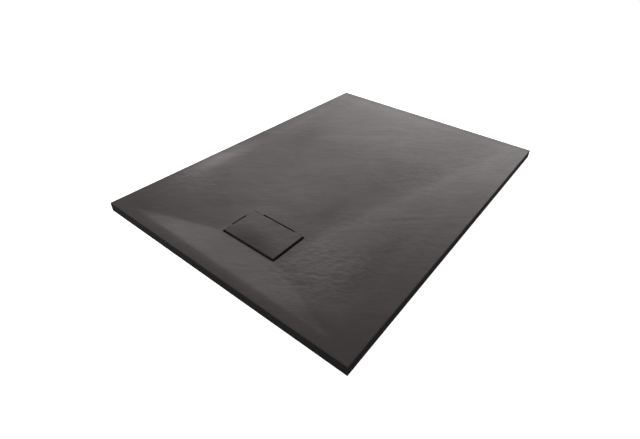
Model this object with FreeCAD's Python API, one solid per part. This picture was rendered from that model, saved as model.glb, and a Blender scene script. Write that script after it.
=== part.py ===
import FreeCAD, Part
import math
import os

Vec = FreeCAD.Vector

# All sizes are in millimetres. +Z is up, +Y runs along the tray's length and the drain lies towards -Y.
# The origin is the middle of the underside, the face that is bedded on the floor.

# Tray slab
TRAY_WIDTH = 900.0
TRAY_LENGTH = 1200.0
TRAY_HEIGHT = 30.0
ARRIS_RADIUS = 2.0
RIM_SIDE = 72.0
RIM_NEAR = 31.0
RIM_FAR = 60.0
FALL_DEPTH = 14.0
LEVEL_WIDTH = 236.0
LEVEL_TO_NEAR = 68.0
LEVEL_TO_FAR = 80.0
DRAIN_FROM_EDGE = 200.0
RECESS_DEPTH = 5.5
WASTE_HOLE_RADIUS = 45.0
FLANGE_REBATE = 3.5
SPOT_FACE_DEPTH = 1.0
SPOT_FACE_MARGIN = 6.0

# Drain cover
COVER_WIDTH = 195.0
COVER_DEPTH = 118.0
COVER_THICKNESS = 6.0
COVER_CORNER = 2.0
COVER_CHAMFER = 1.4
COVER_UNDERCUT = 2.2
COVER_FIT = 2.6
SLOT_GAP = 6.5
SLOT_LONG = 125.0
SLOT_SHORT = 54.0
FOOT_RADIUS = 6.0
FOOT_HEIGHT = 2.5
FOOT_INSET = 14.0

# Waste flange, gaskets and screws
FLANGE_RADIUS = 56.5
FLANGE_THICKNESS = 2.0
FLANGE_BEVEL = 0.8
FLANGE_CLEARANCE = 1.0
GASKET_THICKNESS = 1.5
GASKET_WIDTH = 9.5
BODY_GASKET_THICKNESS = 2.0
BODY_GASKET_WIDTH = 12.5
SCREW_COUNT = 3
SCREW_CIRCLE_RADIUS = 39.0
SCREW_RADIUS = 2.0
SCREW_LENGTH = 13.0
SCREW_HEAD_RADIUS = 3.8
SCREW_HEAD_HEIGHT = 1.7
SCREW_SLOT_WIDTH = 1.0
SCREW_SLOT_DEPTH = 0.7
INSERT_RADIUS = 2.8
INSERT_LENGTH = 8.0
THREAD_CLEARANCE = 0.05

# Hair strainer
STRAINER_LEDGE = 1.6
STRAINER_LEDGE_DEPTH = 1.2
STRAINER_CLEARANCE = 0.3
STRAINER_RIM = 1.1
STRAINER_DEPTH = 4.0
STRAINER_WALL = 1.2
STRAINER_HOLE_RADIUS = 2.2
STRAINER_RING_STEP = 7.0
STRAINER_RINGS = 3
KNOB_RADIUS = 3.0
KNOB_HEIGHT = 3.2

# Trap neck and trap pot
NECK_OUTER_RADIUS = 44.0
NECK_BORE_RADIUS = 33.0
NECK_GAP = 0.5
NECK_DEPTH = 8.0
CLAMP_RIM_THICKNESS = 3.5
CLAMP_RIM_MARGIN = 1.0
POT_BORE_RADIUS = 40.0
POT_WALL = 3.0
POT_DEPTH = 60.0
POT_CHAMFER = 3.0
WELD_CLEARANCE = 0.1
GUSSET_COUNT = 4
GUSSET_THICKNESS = 3.0
GUSSET_HEIGHT = 14.0

# Insert: dip tube, its seal and the odour cup
INSERT_CLEARANCE = 0.3
DISC_RECESS = 0.5
DISC_TOP = 1.5
DISC_THICKNESS = 5.5
DISH_RIM = 2.4
DISH_DEPTH = 2.5
DISH_FALL = 1.5
SEAL_SECTION = 1.25
DIP_BORE_RADIUS = 15.5
DIP_WALL = 2.0
DIP_ABOVE_CUP_FLOOR = 8.0
FIN_COUNT = 3
FIN_THICKNESS = 2.0
FIN_CLEARANCE = 0.3
FIN_BELOW_RIM = 4.0
GRIP_SPAN = 48.0
GRIP_WIDTH = 4.0
GRIP_THICKNESS = 2.0
GRIP_TOP = 4.3
CUP_RADIUS = 28.0
CUP_WALL = 2.0
CUP_RIM_DEPTH = 12.0
CUP_LEG_HEIGHT = 3.0
CUP_LEG_RADIUS = 2.5
CUP_LEG_COUNT = 3

# Outlet: ball, spigot, seal and nut
OUTLET_DEPTH = 36.0
OUTLET_BORE_RADIUS = 18.0
OUTLET_REACH = 72.0
BALL_RADIUS = 23.5
BALL_CLEARANCE = 0.3
BALL_INNER_CUT = 14.0
SOCKET_WALL = 3.2
SPIGOT_RADIUS = 20.0
SPIGOT_WALL = 3.0
SPIGOT_LENGTH = 80.0
COLLAR_RADIUS = 22.5
COLLAR_THICKNESS = 5.0
COLLAR_FROM_BALL = 29.0
SPIGOT_CHAMFER = 1.0
OUTLET_SEAL_SECTION = 1.6
OUTLET_SEAL_GAP = 0.2
NUT_CLEARANCE = 0.1
NUT_WALL = 4.0
NUT_OVERLAP = 11.0
NUT_SEAT_END = 8.0
NUT_LENGTH_PAST_BALL = 12.0
NUT_MOUTH_FLARE = 1.7
NUT_RIB_COUNT = 12
NUT_RIB_HEIGHT = 1.5
NUT_RIB_WIDTH = 4.0

# Sizes that follow from those above
drain_x = 0.0
drain_y = -TRAY_LENGTH / 2 + DRAIN_FROM_EDGE
level_z = TRAY_HEIGHT - FALL_DEPTH
recess_floor_z = level_z - RECESS_DEPTH
cover_under_z = recess_floor_z + FOOT_HEIGHT
cover_top_z = cover_under_z + COVER_THICKNESS
rebate_floor_z = recess_floor_z - FLANGE_REBATE
flange_under_z = rebate_floor_z + GASKET_THICKNESS
flange_top_z = flange_under_z + FLANGE_THICKNESS
ledge_z = flange_top_z - STRAINER_LEDGE_DEPTH
spot_face_z = SPOT_FACE_DEPTH
clamp_rim_top_z = spot_face_z - BODY_GASKET_THICKNESS
clamp_rim_under_z = clamp_rim_top_z - CLAMP_RIM_THICKNESS
neck_top_z = flange_under_z - NECK_GAP
neck_under_z = -NECK_DEPTH
pot_floor_z = -POT_DEPTH
pot_outer_radius = POT_BORE_RADIUS + POT_WALL
body_gasket_outer = WASTE_HOLE_RADIUS + CLAMP_RIM_MARGIN + BODY_GASKET_WIDTH
clamp_rim_radius = body_gasket_outer + CLAMP_RIM_MARGIN
flange_bore_radius = NECK_BORE_RADIUS + INSERT_CLEARANCE
strainer_seat_radius = flange_bore_radius + STRAINER_LEDGE
cup_floor_z = pot_floor_z + CUP_LEG_HEIGHT + CUP_WALL
disc_under_z = DISC_TOP - DISC_THICKNESS
outlet_z = -OUTLET_DEPTH
ball_y = drain_y - OUTLET_REACH
socket_radius = BALL_RADIUS + BALL_CLEARANCE
boss_radius = socket_radius + SOCKET_WALL
nut_bore_radius = boss_radius + NUT_CLEARANCE
nut_radius = nut_bore_radius + NUT_WALL
seal_y = ball_y - OUTLET_SEAL_GAP - OUTLET_SEAL_SECTION
nut_shoulder_y = seal_y - OUTLET_SEAL_SECTION - OUTLET_SEAL_GAP

drain = Vec(drain_x, drain_y, 0)
ball_centre = Vec(drain_x, ball_y, outlet_z)
up = Vec(0, 0, 1)
outward = Vec(0, -1, 0)


def box(x0, x1, y0, y1, z0, z1):
    return Part.makeBox(x1 - x0, y1 - y0, z1 - z0, Vec(x0, y0, z0))


def drain_box(width, depth, z0, z1):
    """Box centred on the drain."""
    return box(drain_x - width / 2, drain_x + width / 2, drain_y - depth / 2, drain_y + depth / 2, z0, z1)


def drain_cylinder(radius, z0, z1, offset=Vec(0, 0, 0)):
    return Part.makeCylinder(radius, z1 - z0, drain + offset + Vec(0, 0, z0), up)


def drain_ring(outer, inner, z0, z1):
    return drain_cylinder(outer, z0, z1).cut(drain_cylinder(inner, z0, z1))


def outlet_cylinder(radius, y_from, y_to):
    """Cylinder on the outlet's axis, from y_from outward to y_to."""
    return Part.makeCylinder(radius, y_from - y_to, Vec(drain_x, y_from, outlet_z), outward)


def flat(points):
    """Flat face with straight edges between the points."""
    return Part.Face(Part.makePolygon(points + points[:1]))


def turned(profile):
    """Solid of revolution about the drain's axis from (radius, z) points."""
    return flat([Vec(drain_x + r, drain_y, z) for r, z in profile]).revolve(drain, up, 360)


def outlet_turned(profile):
    """Solid of revolution about the outlet's axis from (radius, distance past the ball's centre) points."""
    points = [Vec(drain_x + r, ball_y - s, outlet_z) for r, s in profile]
    return flat(points).revolve(ball_centre, outward, 360)


def round_pattern(shape, count, first_degrees):
    """Copies of a shape spaced evenly round the drain's axis."""
    copies = []
    for i in range(count):
        copy = shape.copy()
        copy.rotate(drain, up, first_degrees + 360.0 * i / count)
        copies.append(copy)
    return copies


def vertical_edges(shape):
    return [e for e in shape.Edges if abs(e.tangentAt(e.FirstParameter).z) > 0.999]


def edges_at(shape, z):
    """Edges that lie wholly at one height."""
    box_of = [(e, e.BoundBox) for e in shape.Edges]
    return [e for e, b in box_of if abs(b.ZMin - z) < 1e-4 and abs(b.ZMax - z) < 1e-4]


def corners_of(x0, x1, y0, y1, z):
    return [Vec(x0, y0, z), Vec(x1, y0, z), Vec(x1, y1, z), Vec(x0, y1, z)]


def basin_space():
    """What the four falls take out of the slab, carried on at the same slopes above the rim."""
    above = FALL_DEPTH / 4
    grow = (FALL_DEPTH + above) / FALL_DEPTH
    level = (-LEVEL_WIDTH / 2, LEVEL_WIDTH / 2, drain_y - LEVEL_TO_NEAR, drain_y + LEVEL_TO_FAR)
    crease = (
        -TRAY_WIDTH / 2 + RIM_SIDE,
        TRAY_WIDTH / 2 - RIM_SIDE,
        -TRAY_LENGTH / 2 + RIM_NEAR,
        TRAY_LENGTH / 2 - RIM_FAR,
    )
    top = [a + (b - a) * grow for a, b in zip(level, crease)]
    low = corners_of(*level, level_z)
    high = corners_of(*top, TRAY_HEIGHT + above)
    faces = [flat(low), flat(high)]
    for i in range(4):
        after = (i + 1) % 4
        faces.append(flat([low[i], low[after], high[after], high[i]]))
    space = Part.makeSolid(Part.makeShell(faces))
    if space.Volume < 0:
        space.reverse()
    return space


def recess_space():
    """The room for the cover: a wide gap along its near and right sides, and a narrow one with a slot along the others."""
    left = drain_x - COVER_WIDTH / 2
    right = drain_x + COVER_WIDTH / 2 + SLOT_GAP
    near = drain_y - COVER_DEPTH / 2 - SLOT_GAP
    far = drain_y + COVER_DEPTH / 2
    spans = [
        (left - COVER_FIT, right, near, far + COVER_FIT),
        (drain_x - SLOT_LONG / 2, drain_x + SLOT_LONG / 2, near, far + SLOT_GAP),
        (left - SLOT_GAP, right, drain_y - SLOT_SHORT / 2, drain_y + SLOT_SHORT / 2),
    ]
    seat, across, along = [box(*span, recess_floor_z, TRAY_HEIGHT) for span in spans]
    return seat.fuse([across, along]).removeSplitter()


def tray_slab():
    half_width = TRAY_WIDTH / 2
    half_length = TRAY_LENGTH / 2
    slab = box(-half_width, half_width, -half_length, half_length, 0, TRAY_HEIGHT)
    slab = slab.makeFillet(ARRIS_RADIUS, edges_at(slab, TRAY_HEIGHT))
    slab = slab.cut(basin_space())
    slab = slab.cut(recess_space())
    slab = slab.cut(drain_cylinder(FLANGE_RADIUS + FLANGE_CLEARANCE, rebate_floor_z, level_z))
    slab = slab.cut(drain_cylinder(WASTE_HOLE_RADIUS, 0, TRAY_HEIGHT))
    slab = slab.cut(drain_cylinder(clamp_rim_radius + SPOT_FACE_MARGIN, 0, spot_face_z))
    return slab.removeSplitter()


def plate_outline(inset, corner, z):
    plate = drain_box(COVER_WIDTH - 2 * inset, COVER_DEPTH - 2 * inset, z, z + 1)
    plate = plate.makeFillet(corner, vertical_edges(plate))
    return Part.Wire(Part.__sortEdges__(edges_at(plate, z)))


def drain_cover():
    """A plate whose sides lean in towards its underside, so that water runs off its edge into the gap."""
    side_top_z = cover_top_z - COVER_CHAMFER
    outlines = [
        plate_outline(COVER_UNDERCUT, COVER_CORNER, cover_under_z),
        plate_outline(0, COVER_CORNER, side_top_z),
        plate_outline(COVER_CHAMFER, COVER_CORNER - COVER_CHAMFER, cover_top_z),
    ]
    return Part.makeLoft(outlines, True, True)


def cover_feet():
    feet = []
    for sx in (-1, 1):
        for sy in (-1, 1):
            place = Vec(sx * (COVER_WIDTH / 2 - FOOT_INSET), sy * (COVER_DEPTH / 2 - FOOT_INSET), 0)
            feet.append(drain_cylinder(FOOT_RADIUS, recess_floor_z, cover_under_z, place))
    return Part.makeCompound(feet)


def flange_gasket():
    outer = FLANGE_RADIUS - FLANGE_BEVEL
    return drain_ring(outer, outer - GASKET_WIDTH, rebate_floor_z, flange_under_z)


def body_gasket():
    inner = body_gasket_outer - BODY_GASKET_WIDTH
    return drain_ring(body_gasket_outer, inner, clamp_rim_top_z, spot_face_z)


def screw_blank(grow, z_under):
    """Shank and countersunk head, made larger by grow all round; the first of the circle."""
    shank = drain_cylinder(SCREW_RADIUS + grow, z_under, flange_top_z, Vec(SCREW_CIRCLE_RADIUS, 0, 0))
    head_base = drain + Vec(SCREW_CIRCLE_RADIUS, 0, flange_top_z - SCREW_HEAD_HEIGHT)
    head = Part.makeCone(SCREW_RADIUS + grow, SCREW_HEAD_RADIUS + grow, SCREW_HEAD_HEIGHT, head_base, up)
    return shank.fuse(head).removeSplitter()


def waste_flange():
    profile = [
        (flange_bore_radius, flange_under_z),
        (FLANGE_RADIUS, flange_under_z),
        (FLANGE_RADIUS, flange_top_z - FLANGE_BEVEL),
        (FLANGE_RADIUS - FLANGE_BEVEL, flange_top_z),
        (strainer_seat_radius, flange_top_z),
        (strainer_seat_radius, ledge_z),
        (flange_bore_radius, ledge_z),
    ]
    flange = turned(profile)
    for hole in round_pattern(screw_blank(THREAD_CLEARANCE, flange_under_z), SCREW_COUNT, 90):
        flange = flange.cut(hole)
    return flange


def flange_screws():
    screw = screw_blank(0, flange_top_z - SCREW_LENGTH)
    slot_x = drain_x + SCREW_CIRCLE_RADIUS
    slot = box(
        slot_x - SCREW_HEAD_RADIUS,
        slot_x + SCREW_HEAD_RADIUS,
        drain_y - SCREW_SLOT_WIDTH / 2,
        drain_y + SCREW_SLOT_WIDTH / 2,
        flange_top_z - SCREW_SLOT_DEPTH,
        flange_top_z,
    )
    return Part.makeCompound(round_pattern(screw.cut(slot), SCREW_COUNT, 90))


def insert_cylinder(radius):
    top = neck_top_z - NECK_GAP
    return drain_cylinder(radius, top - INSERT_LENGTH, top, Vec(SCREW_CIRCLE_RADIUS, 0, 0))


def screw_inserts():
    insert = insert_cylinder(INSERT_RADIUS).cut(insert_cylinder(SCREW_RADIUS + THREAD_CLEARANCE))
    return Part.makeCompound(round_pattern(insert, SCREW_COUNT, 90))


def insert_pockets():
    """Blind pockets in the neck for the brass inserts, deep enough for the screw's tip."""
    pocket_radius = INSERT_RADIUS + THREAD_CLEARANCE
    tip_z = flange_top_z - SCREW_LENGTH - SCREW_RADIUS
    spot = Vec(SCREW_CIRCLE_RADIUS, 0, 0)
    upper = drain_cylinder(pocket_radius, neck_top_z - NECK_GAP - INSERT_LENGTH, neck_top_z, spot)
    lower = drain_cylinder(SCREW_RADIUS + THREAD_CLEARANCE, tip_z, neck_top_z, spot)
    return round_pattern(upper.fuse(lower).removeSplitter(), SCREW_COUNT, 90)


def gussets():
    """Triangular webs under the clamping rim, spaced clear of the outlet boss."""
    inner = pot_outer_radius - POT_WALL / 2
    outer = clamp_rim_radius - CLAMP_RIM_MARGIN
    y = drain_y - GUSSET_THICKNESS / 2
    corners = [
        Vec(drain_x + inner, y, clamp_rim_under_z),
        Vec(drain_x + outer, y, clamp_rim_under_z),
        Vec(drain_x + inner, y, clamp_rim_under_z - GUSSET_HEIGHT),
    ]
    web = flat(corners).extrude(Vec(0, GUSSET_THICKNESS, 0))
    half_step = 180.0 / GUSSET_COUNT
    return round_pattern(web, GUSSET_COUNT, -90 + half_step)


def trap_neck():
    """Neck and clamping rim, with a short spigot that centres it in the pot it is welded on."""
    spigot_radius = POT_BORE_RADIUS - WELD_CLEARANCE
    profile = [
        (NECK_BORE_RADIUS, neck_under_z),
        (spigot_radius, neck_under_z),
        (spigot_radius, clamp_rim_under_z),
        (clamp_rim_radius, clamp_rim_under_z),
        (clamp_rim_radius, clamp_rim_top_z),
        (NECK_OUTER_RADIUS, clamp_rim_top_z),
        (NECK_OUTER_RADIUS, neck_top_z),
        (NECK_BORE_RADIUS, neck_top_z),
    ]
    neck = turned(profile)
    for pocket in insert_pockets():
        neck = neck.cut(pocket)
    return neck


def trap_pot():
    outside = [
        (0, pot_floor_z - POT_WALL),
        (pot_outer_radius - POT_CHAMFER, pot_floor_z - POT_WALL),
        (pot_outer_radius, pot_floor_z - POT_WALL + POT_CHAMFER),
        (pot_outer_radius, clamp_rim_under_z),
        (0, clamp_rim_under_z),
    ]
    boss = outlet_cylinder(boss_radius, drain_y, ball_y)
    pot = turned(outside).fuse([boss] + gussets()).removeSplitter()
    pot = pot.cut(drain_cylinder(POT_BORE_RADIUS, pot_floor_z, clamp_rim_under_z))
    pot = pot.cut(outlet_cylinder(OUTLET_BORE_RADIUS, drain_y, ball_y))
    return pot.cut(Part.makeSphere(socket_radius, ball_centre))


def seal_radius():
    return NECK_BORE_RADIUS - INSERT_CLEARANCE - SEAL_SECTION


def seal_z():
    return (DISC_TOP + disc_under_z) / 2


def dip_seal():
    return Part.makeTorus(seal_radius(), SEAL_SECTION, drain + Vec(0, 0, seal_z()), up)


def dip_disc_and_tube():
    disc_radius = NECK_BORE_RADIUS - INSERT_CLEARANCE - DISC_RECESS
    groove_radius = seal_radius() - SEAL_SECTION
    tube_outer = DIP_BORE_RADIUS + DIP_WALL
    tube_end_z = cup_floor_z + DIP_ABOVE_CUP_FLOOR
    dish_radius = disc_radius - DISH_RIM
    dish_z = DISC_TOP - DISH_DEPTH
    profile = [
        (DIP_BORE_RADIUS, tube_end_z),
        (tube_outer, tube_end_z),
        (tube_outer, disc_under_z),
        (disc_radius, disc_under_z),
        (disc_radius, seal_z() - SEAL_SECTION),
        (groove_radius, seal_z() - SEAL_SECTION),
        (groove_radius, seal_z() + SEAL_SECTION),
        (disc_radius, seal_z() + SEAL_SECTION),
        (disc_radius, DISC_TOP),
        (dish_radius, DISC_TOP),
        (dish_radius, dish_z),
        (DIP_BORE_RADIUS, dish_z - DISH_FALL),
    ]
    return turned(profile)


def grip():
    """Bar across the dish, on two posts, by which the insert is pulled out."""
    foot_z = DISC_TOP - DISH_DEPTH - DISH_FALL
    bar = drain_box(GRIP_SPAN, GRIP_WIDTH, GRIP_TOP - GRIP_THICKNESS, GRIP_TOP)
    posts = []
    for side in (-1, 1):
        x = drain_x + side * (GRIP_SPAN - GRIP_WIDTH) / 2
        y = drain_y
        half = GRIP_WIDTH / 2
        posts.append(box(x - half, x + half, y - half, y + half, foot_z, GRIP_TOP))
    return bar.fuse(posts)


def fins():
    """Webs on the dip tube that stand on the cup's floor and centre the cup."""
    inner = DIP_BORE_RADIUS + DIP_WALL / 2
    outer = CUP_RADIUS - CUP_WALL - FIN_CLEARANCE
    top_z = -CUP_RIM_DEPTH - FIN_BELOW_RIM
    half = FIN_THICKNESS / 2
    web = box(drain_x + inner, drain_x + outer, drain_y - half, drain_y + half, cup_floor_z, top_z)
    return round_pattern(web, FIN_COUNT, 30)


def dip_tube():
    return dip_disc_and_tube().fuse([grip()] + fins()).removeSplitter()


def odour_cup():
    wall = drain_cylinder(CUP_RADIUS, cup_floor_z - CUP_WALL, -CUP_RIM_DEPTH)
    cup = wall.cut(drain_cylinder(CUP_RADIUS - CUP_WALL, cup_floor_z, -CUP_RIM_DEPTH))
    leg_circle = Vec(CUP_RADIUS - CUP_WALL - CUP_LEG_RADIUS, 0, 0)
    leg = drain_cylinder(CUP_LEG_RADIUS, pot_floor_z, cup_floor_z - CUP_WALL, leg_circle)
    return cup.fuse(round_pattern(leg, CUP_LEG_COUNT, 90)).removeSplitter()


def hair_strainer():
    rim_radius = strainer_seat_radius - STRAINER_CLEARANCE
    basket_radius = flange_bore_radius - STRAINER_CLEARANCE - STRAINER_LEDGE
    rim_top_z = ledge_z + STRAINER_RIM
    floor_z = ledge_z - STRAINER_DEPTH
    profile = [
        (0, floor_z),
        (basket_radius - STRAINER_WALL, floor_z),
        (basket_radius, floor_z + STRAINER_WALL),
        (basket_radius, ledge_z),
        (rim_radius, ledge_z),
        (rim_radius, rim_top_z),
        (basket_radius - STRAINER_WALL, rim_top_z),
        (basket_radius - STRAINER_WALL, floor_z + STRAINER_WALL),
        (0, floor_z + STRAINER_WALL),
    ]
    strainer = turned(profile)
    holes = []
    for ring in range(1, STRAINER_RINGS + 1):
        spot = Vec(ring * STRAINER_RING_STEP, 0, 0)
        hole = drain_cylinder(STRAINER_HOLE_RADIUS, floor_z, floor_z + STRAINER_WALL, spot)
        holes += round_pattern(hole, 6 * ring, 0)
    strainer = strainer.cut(holes)
    knob_z = floor_z + STRAINER_WALL
    return strainer.fuse(drain_cylinder(KNOB_RADIUS, knob_z, knob_z + KNOB_HEIGHT)).removeSplitter()


def outlet_spigot():
    end_y = ball_y - SPIGOT_LENGTH
    bore_radius = SPIGOT_RADIUS - SPIGOT_WALL
    ball = Part.makeSphere(BALL_RADIUS, ball_centre)
    ball = ball.common(outlet_cylinder(BALL_RADIUS, ball_y + BALL_INNER_CUT, ball_y - BALL_RADIUS))
    spigot = outlet_cylinder(SPIGOT_RADIUS, ball_y, end_y)
    spigot = spigot.makeChamfer(SPIGOT_CHAMFER, [e for e in spigot.Edges if e.BoundBox.YMax < end_y + 1e-4])
    collar_y = ball_y - COLLAR_FROM_BALL
    collar = outlet_cylinder(COLLAR_RADIUS, collar_y, collar_y - COLLAR_THICKNESS)
    whole = ball.fuse([spigot, collar]).removeSplitter()
    return whole.cut(outlet_cylinder(bore_radius, ball_y + BALL_RADIUS, end_y))


def outlet_seal():
    centre = Vec(drain_x, seal_y, outlet_z)
    return Part.makeTorus(boss_radius - OUTLET_SEAL_SECTION, OUTLET_SEAL_SECTION, centre, outward)


def outlet_nut():
    seat_end_radius = math.sqrt(socket_radius ** 2 - NUT_SEAT_END ** 2)
    blank = outlet_turned([
        (0, -NUT_OVERLAP),
        (nut_radius, -NUT_OVERLAP),
        (nut_radius, NUT_LENGTH_PAST_BALL),
        (0, NUT_LENGTH_PAST_BALL),
    ])
    rib_reach = nut_radius + NUT_RIB_HEIGHT
    ribs = []
    for i in range(NUT_RIB_COUNT):
        rib = box(
            drain_x - NUT_RIB_WIDTH / 2,
            drain_x + NUT_RIB_WIDTH / 2,
            ball_y - NUT_LENGTH_PAST_BALL,
            ball_y + NUT_OVERLAP,
            outlet_z + nut_bore_radius,
            outlet_z + rib_reach,
        )
        rib.rotate(ball_centre, outward, 360.0 * (i + 0.5) / NUT_RIB_COUNT)
        ribs.append(rib)
    nut = blank.fuse(ribs).removeSplitter()
    nut = nut.cut(outlet_cylinder(nut_bore_radius, ball_y + NUT_OVERLAP, nut_shoulder_y))
    nut = nut.cut(Part.makeSphere(socket_radius, ball_centre))
    mouth = outlet_turned([
        (0, NUT_SEAT_END),
        (seat_end_radius, NUT_SEAT_END),
        (seat_end_radius + NUT_MOUTH_FLARE, NUT_LENGTH_PAST_BALL),
        (0, NUT_LENGTH_PAST_BALL),
    ])
    return nut.cut(mouth)


PARTS = {
    "tray_slab": tray_slab,
    "drain_cover": drain_cover,
    "cover_feet": cover_feet,
    "hair_strainer": hair_strainer,
    "waste_flange": waste_flange,
    "flange_gasket": flange_gasket,
    "flange_screws": flange_screws,
    "screw_inserts": screw_inserts,
    "trap_neck": trap_neck,
    "trap_pot": trap_pot,
    "body_gasket": body_gasket,
    "dip_tube": dip_tube,
    "dip_seal": dip_seal,
    "odour_cup": odour_cup,
    "outlet_spigot": outlet_spigot,
    "outlet_seal": outlet_seal,
    "outlet_nut": outlet_nut,
}

os.makedirs("parts", exist_ok=True)
for name, make in PARTS.items():
    shape = make()
    size = shape.BoundBox
    low = (size.XMin, size.YMin, size.ZMin)
    high = (size.XMax, size.YMax, size.ZMax)
    print(name, shape.isValid(), len(shape.Solids), round(shape.Volume / 1000, 2), "cm3", low, high)
    shape.exportStep("parts/" + name + ".step")
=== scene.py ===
import bpy
import bmesh
import math
from mathutils import Matrix, Vector, noise


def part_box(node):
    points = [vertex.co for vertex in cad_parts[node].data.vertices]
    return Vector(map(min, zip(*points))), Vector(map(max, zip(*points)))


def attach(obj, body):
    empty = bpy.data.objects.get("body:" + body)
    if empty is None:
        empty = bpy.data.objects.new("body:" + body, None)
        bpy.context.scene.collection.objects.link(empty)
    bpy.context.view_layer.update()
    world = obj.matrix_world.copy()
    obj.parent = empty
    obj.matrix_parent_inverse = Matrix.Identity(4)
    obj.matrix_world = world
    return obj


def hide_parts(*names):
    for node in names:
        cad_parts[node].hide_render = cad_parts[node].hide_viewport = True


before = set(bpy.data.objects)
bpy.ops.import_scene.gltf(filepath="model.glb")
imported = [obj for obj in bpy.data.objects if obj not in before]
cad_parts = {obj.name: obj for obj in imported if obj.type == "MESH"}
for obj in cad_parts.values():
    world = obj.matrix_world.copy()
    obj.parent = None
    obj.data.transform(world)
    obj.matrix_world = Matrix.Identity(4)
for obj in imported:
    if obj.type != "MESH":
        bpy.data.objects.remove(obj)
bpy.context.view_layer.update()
mm = 0.001

drainLow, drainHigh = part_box("drain_cover")
drainX = (drainLow.x + drainHigh.x) / 2
drainY = (drainLow.y + drainHigh.y) / 2
slabLow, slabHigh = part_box("tray_slab")
print("frame loaded:", len(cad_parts), "nodes")


# shared shaping helpers

def smoothStep(low, high, value):
    t = min(1.0, max(0.0, (value - low) / (high - low)))
    return t * t * (3 - 2 * t)


def softMin(a, b, blend):
    h = max(0.0, blend - abs(a - b)) / blend
    return min(a, b) - h * h * blend / 4


def stops(fixed, pitch):
    # places along one axis: every fixed one, with even steps of about one pitch between them
    places = [fixed[0]]
    for low, high in zip(fixed, fixed[1:]):
        count = max(1, round((high - low) / pitch))
        places += [low + (high - low) * (i + 1) / count for i in range(count)]
    return places


def gridSheet(bm, xPlaces, yPlaces):
    # a row of vertices drawn out along X, then the row drawn out along Y
    last = bm.verts.new((xPlaces[0], yPlaces[0], 0))
    for x in xPlaces[1:]:
        made = bmesh.ops.extrude_vert_indiv(bm, verts=[last])
        last = made["verts"][0]
        last.co.x = x
    row = bm.edges[:]
    for y in yPlaces[1:]:
        made = bmesh.ops.extrude_edge_only(bm, edges=row)["geom"]
        row = [e for e in made if isinstance(e, bmesh.types.BMEdge)]
        for vert in (v for v in made if isinstance(v, bmesh.types.BMVert)):
            vert.co.y = y


def drawOut(bm, edges, place):
    # extrudes a loop of edges and puts each new vertex where place(old position) says
    made = bmesh.ops.extrude_edge_only(bm, edges=edges)["geom"]
    for vert in (v for v in made if isinstance(v, bmesh.types.BMVert)):
        vert.co = place(vert.co)
    return [e for e in made if isinstance(e, bmesh.types.BMEdge)]


def steppedOut(old, edgeX, edgeY, out, down):
    # a vertex on the edge of a rectangle, moved down and away from each side that it lies on
    x = old.x + math.copysign(out, old.x) * (abs(old.x) > edgeX - 1e-6)
    y = old.y + math.copysign(out, old.y) * (abs(old.y) > edgeY - 1e-6)
    return Vector((x, y, old.z - down))


def stoneLayers(bm):
    # what the slate's material reads at each vertex
    return [bm.verts.layers.float.new(name) for name in ("cleft", "ripple", "glossAndPaintedLight")]


def circleAt(bm, radius, z, segments=96):
    middle = Matrix.Translation((drainX, drainY, z))
    made = bmesh.ops.create_circle(bm, segments=segments, radius=radius, matrix=middle)
    return list({e for v in made["verts"] for e in v.link_edges})


def sizedTo(radius, z):
    # a place function for circles round the drain
    def place(old):
        out = Vector((old.x - drainX, old.y - drainY, 0)).normalized() * radius
        return Vector((drainX + out.x, drainY + out.y, z))
    return place


def finished(name, bm, body, node, slateAbove, upwardFrom=0.3, sharpDegrees=32):
    # upward faces above the given height take the slate face, and all others the cast side, whose darker
    # colour is painted shade
    bmesh.ops.recalc_face_normals(bm, faces=bm.faces[:])
    for face in bm.faces:
        face.smooth = True
        upward = face.normal.z > upwardFrom and face.calc_center_median().z > slateAbove
        face.material_index = 0 if upward else 1
    for edge in bm.edges:
        edge.smooth = edge.calc_face_angle(0) < math.radians(sharpDegrees)
    mesh = bpy.data.meshes.new(name)
    bm.to_mesh(mesh)
    bm.free()
    piece = bpy.data.objects.new(name, mesh)
    bpy.context.scene.collection.objects.link(piece)
    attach(piece, body)
    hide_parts(node)
    print(name, len(mesh.polygons), "faces")
    return piece


# slate relief, shared by the slab and its cover

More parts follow.
